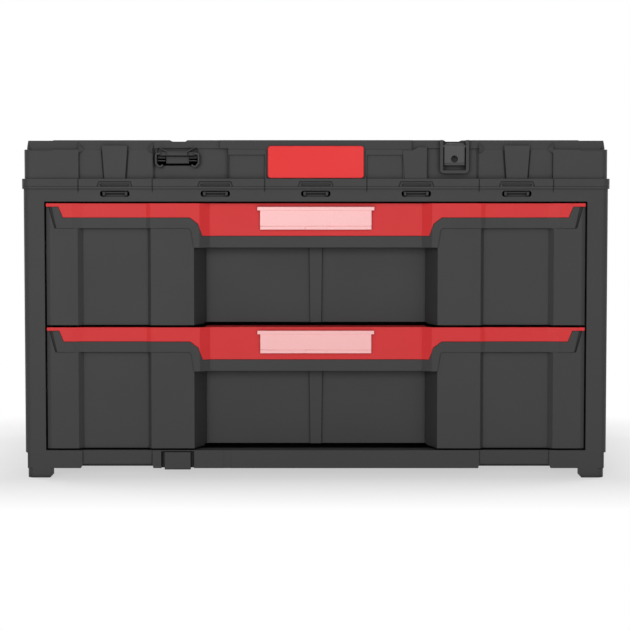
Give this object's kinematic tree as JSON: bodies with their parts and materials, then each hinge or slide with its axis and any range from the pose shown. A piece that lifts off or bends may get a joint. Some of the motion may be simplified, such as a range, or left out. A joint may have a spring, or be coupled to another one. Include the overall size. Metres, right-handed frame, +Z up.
{
  "type": "portable tool box with drawers",
  "caption": "Portable stacking tool box: moulded cabinet with drawers on telescopic slides, clipped cover with a fold-flat carry handle and a stacking flap.",
  "frame": {"origin": "middle of the underside of the feet, centred in width and depth", "axes": "+X to the right as seen from the front, the drawers open towards -Y, +Z up"},
  "size_m": [0.5864, 0.385, 0.3375],
  "materials": {
    "cabinet_plastic": "moulded polypropylene, fine grain",
    "cover_plastic": "moulded polypropylene, fine grain",
    "drawer_plastic": "moulded polypropylene, fine grain",
    "red_plastic": "moulded polypropylene, satin",
    "plate_plastic": "smooth moulded plate, bare",
    "label_plastic": "frosted clear moulding",
    "bracket_plastic": "moulded nylon, satin",
    "flap_plastic": "moulded nylon, satin",
    "handle_plastic": "moulded nylon, satin",
    "soft_rubber": "soft over-moulded sleeve and buffers",
    "slide_steel": "rolled zinc-plated steel",
    "zinc_steel": "zinc-plated steel",
    "cage_plastic": "ball cage of nylon with steel balls"
  },
  "bodies": {
    "root": {"cabinet_shell": "cabinet_plastic", "top_cover": "cover_plastic", "name_plate": "plate_plastic", "coupler_bracket": "bracket_plastic", "stack_hook": "cabinet_plastic", "left_handle_pin": "zinc_steel", "right_handle_pin": "zinc_steel", "flap_pin": "zinc_steel", "slide_screws": "zinc_steel", "slide_bumpers": "soft_rubber", "upper_left_cabinet_rail": "slide_steel", "upper_right_cabinet_rail": "slide_steel", "lower_left_cabinet_rail": "slide_steel", "lower_right_cabinet_rail": "slide_steel"},
    "carry_handle": {"carry_handle": "handle_plastic", "handle_grip": "soft_rubber"},
    "stacking_flap": {"stacking_flap": "flap_plastic"},
    "upper_drawer": {"upper_tub": "drawer_plastic", "upper_grip_trim": "red_plastic", "upper_label_cover": "label_plastic", "upper_screws": "zinc_steel", "upper_left_drawer_rail": "slide_steel", "upper_right_drawer_rail": "slide_steel"},
    "upper_middle_rails": {"upper_left_middle_rail": "slide_steel", "upper_right_middle_rail": "slide_steel"},
    "upper_outer_cages": {"upper_left_outer_cage": "cage_plastic", "upper_right_outer_cage": "cage_plastic"},
    "upper_inner_cages": {"upper_left_inner_cage": "cage_plastic", "upper_right_inner_cage": "cage_plastic"},
    "lower_drawer": {"lower_tub": "drawer_plastic", "lower_grip_trim": "red_plastic", "lower_label_cover": "label_plastic", "lower_screws": "zinc_steel", "lower_left_drawer_rail": "slide_steel", "lower_right_drawer_rail": "slide_steel"},
    "lower_middle_rails": {"lower_left_middle_rail": "slide_steel", "lower_right_middle_rail": "slide_steel"},
    "lower_outer_cages": {"lower_left_outer_cage": "cage_plastic", "lower_right_outer_cage": "cage_plastic"},
    "lower_inner_cages": {"lower_left_inner_cage": "cage_plastic", "lower_right_inner_cage": "cage_plastic"}
  },
  "joints": [
    {"name": "handle_hinge", "type": "hinge", "parent": "root", "child": "carry_handle", "pos_m": [0, 0.022, 0.3235], "axis": [-1, 0, 0], "range_deg": [0, 90]},
    {"name": "flap_hinge", "type": "hinge", "parent": "root", "child": "stacking_flap", "pos_m": [0.1379, -0.1867, 0.3311], "axis": [-1, 0, 0], "range_deg": [0, 165]},
    {"name": "upper_drawer_slide", "type": "slide", "parent": "root", "child": "upper_drawer", "axis": [0, -1, 0], "range_m": [0, 0.28]},
    {"name": "upper_middle_rails_slide", "type": "slide", "parent": "root", "child": "upper_middle_rails", "axis": [0, -1, 0], "range_m": [0, 0.14]},
    {"name": "upper_outer_cages_slide", "type": "slide", "parent": "root", "child": "upper_outer_cages", "axis": [0, -1, 0], "range_m": [0, 0.07]},
    {"name": "upper_inner_cages_slide", "type": "slide", "parent": "root", "child": "upper_inner_cages", "axis": [0, -1, 0], "range_m": [0, 0.21]},
    {"name": "lower_drawer_slide", "type": "slide", "parent": "root", "child": "lower_drawer", "axis": [0, -1, 0], "range_m": [0, 0.28]},
    {"name": "lower_middle_rails_slide", "type": "slide", "parent": "root", "child": "lower_middle_rails", "axis": [0, -1, 0], "range_m": [0, 0.14]},
    {"name": "lower_outer_cages_slide", "type": "slide", "parent": "root", "child": "lower_outer_cages", "axis": [0, -1, 0], "range_m": [0, 0.07]},
    {"name": "lower_inner_cages_slide", "type": "slide", "parent": "root", "child": "lower_inner_cages", "axis": [0, -1, 0], "range_m": [0, 0.21]}
  ],
  "couplings": [
    {"joint": "upper_middle_rails_slide", "follows": "upper_drawer_slide", "ratio": 0.5},
    {"joint": "upper_outer_cages_slide", "follows": "upper_drawer_slide", "ratio": 0.25},
    {"joint": "upper_inner_cages_slide", "follows": "upper_drawer_slide", "ratio": 0.75},
    {"joint": "lower_middle_rails_slide", "follows": "lower_drawer_slide", "ratio": 0.5},
    {"joint": "lower_outer_cages_slide", "follows": "lower_drawer_slide", "ratio": 0.25},
    {"joint": "lower_inner_cages_slide", "follows": "lower_drawer_slide", "ratio": 0.75}
  ]
}
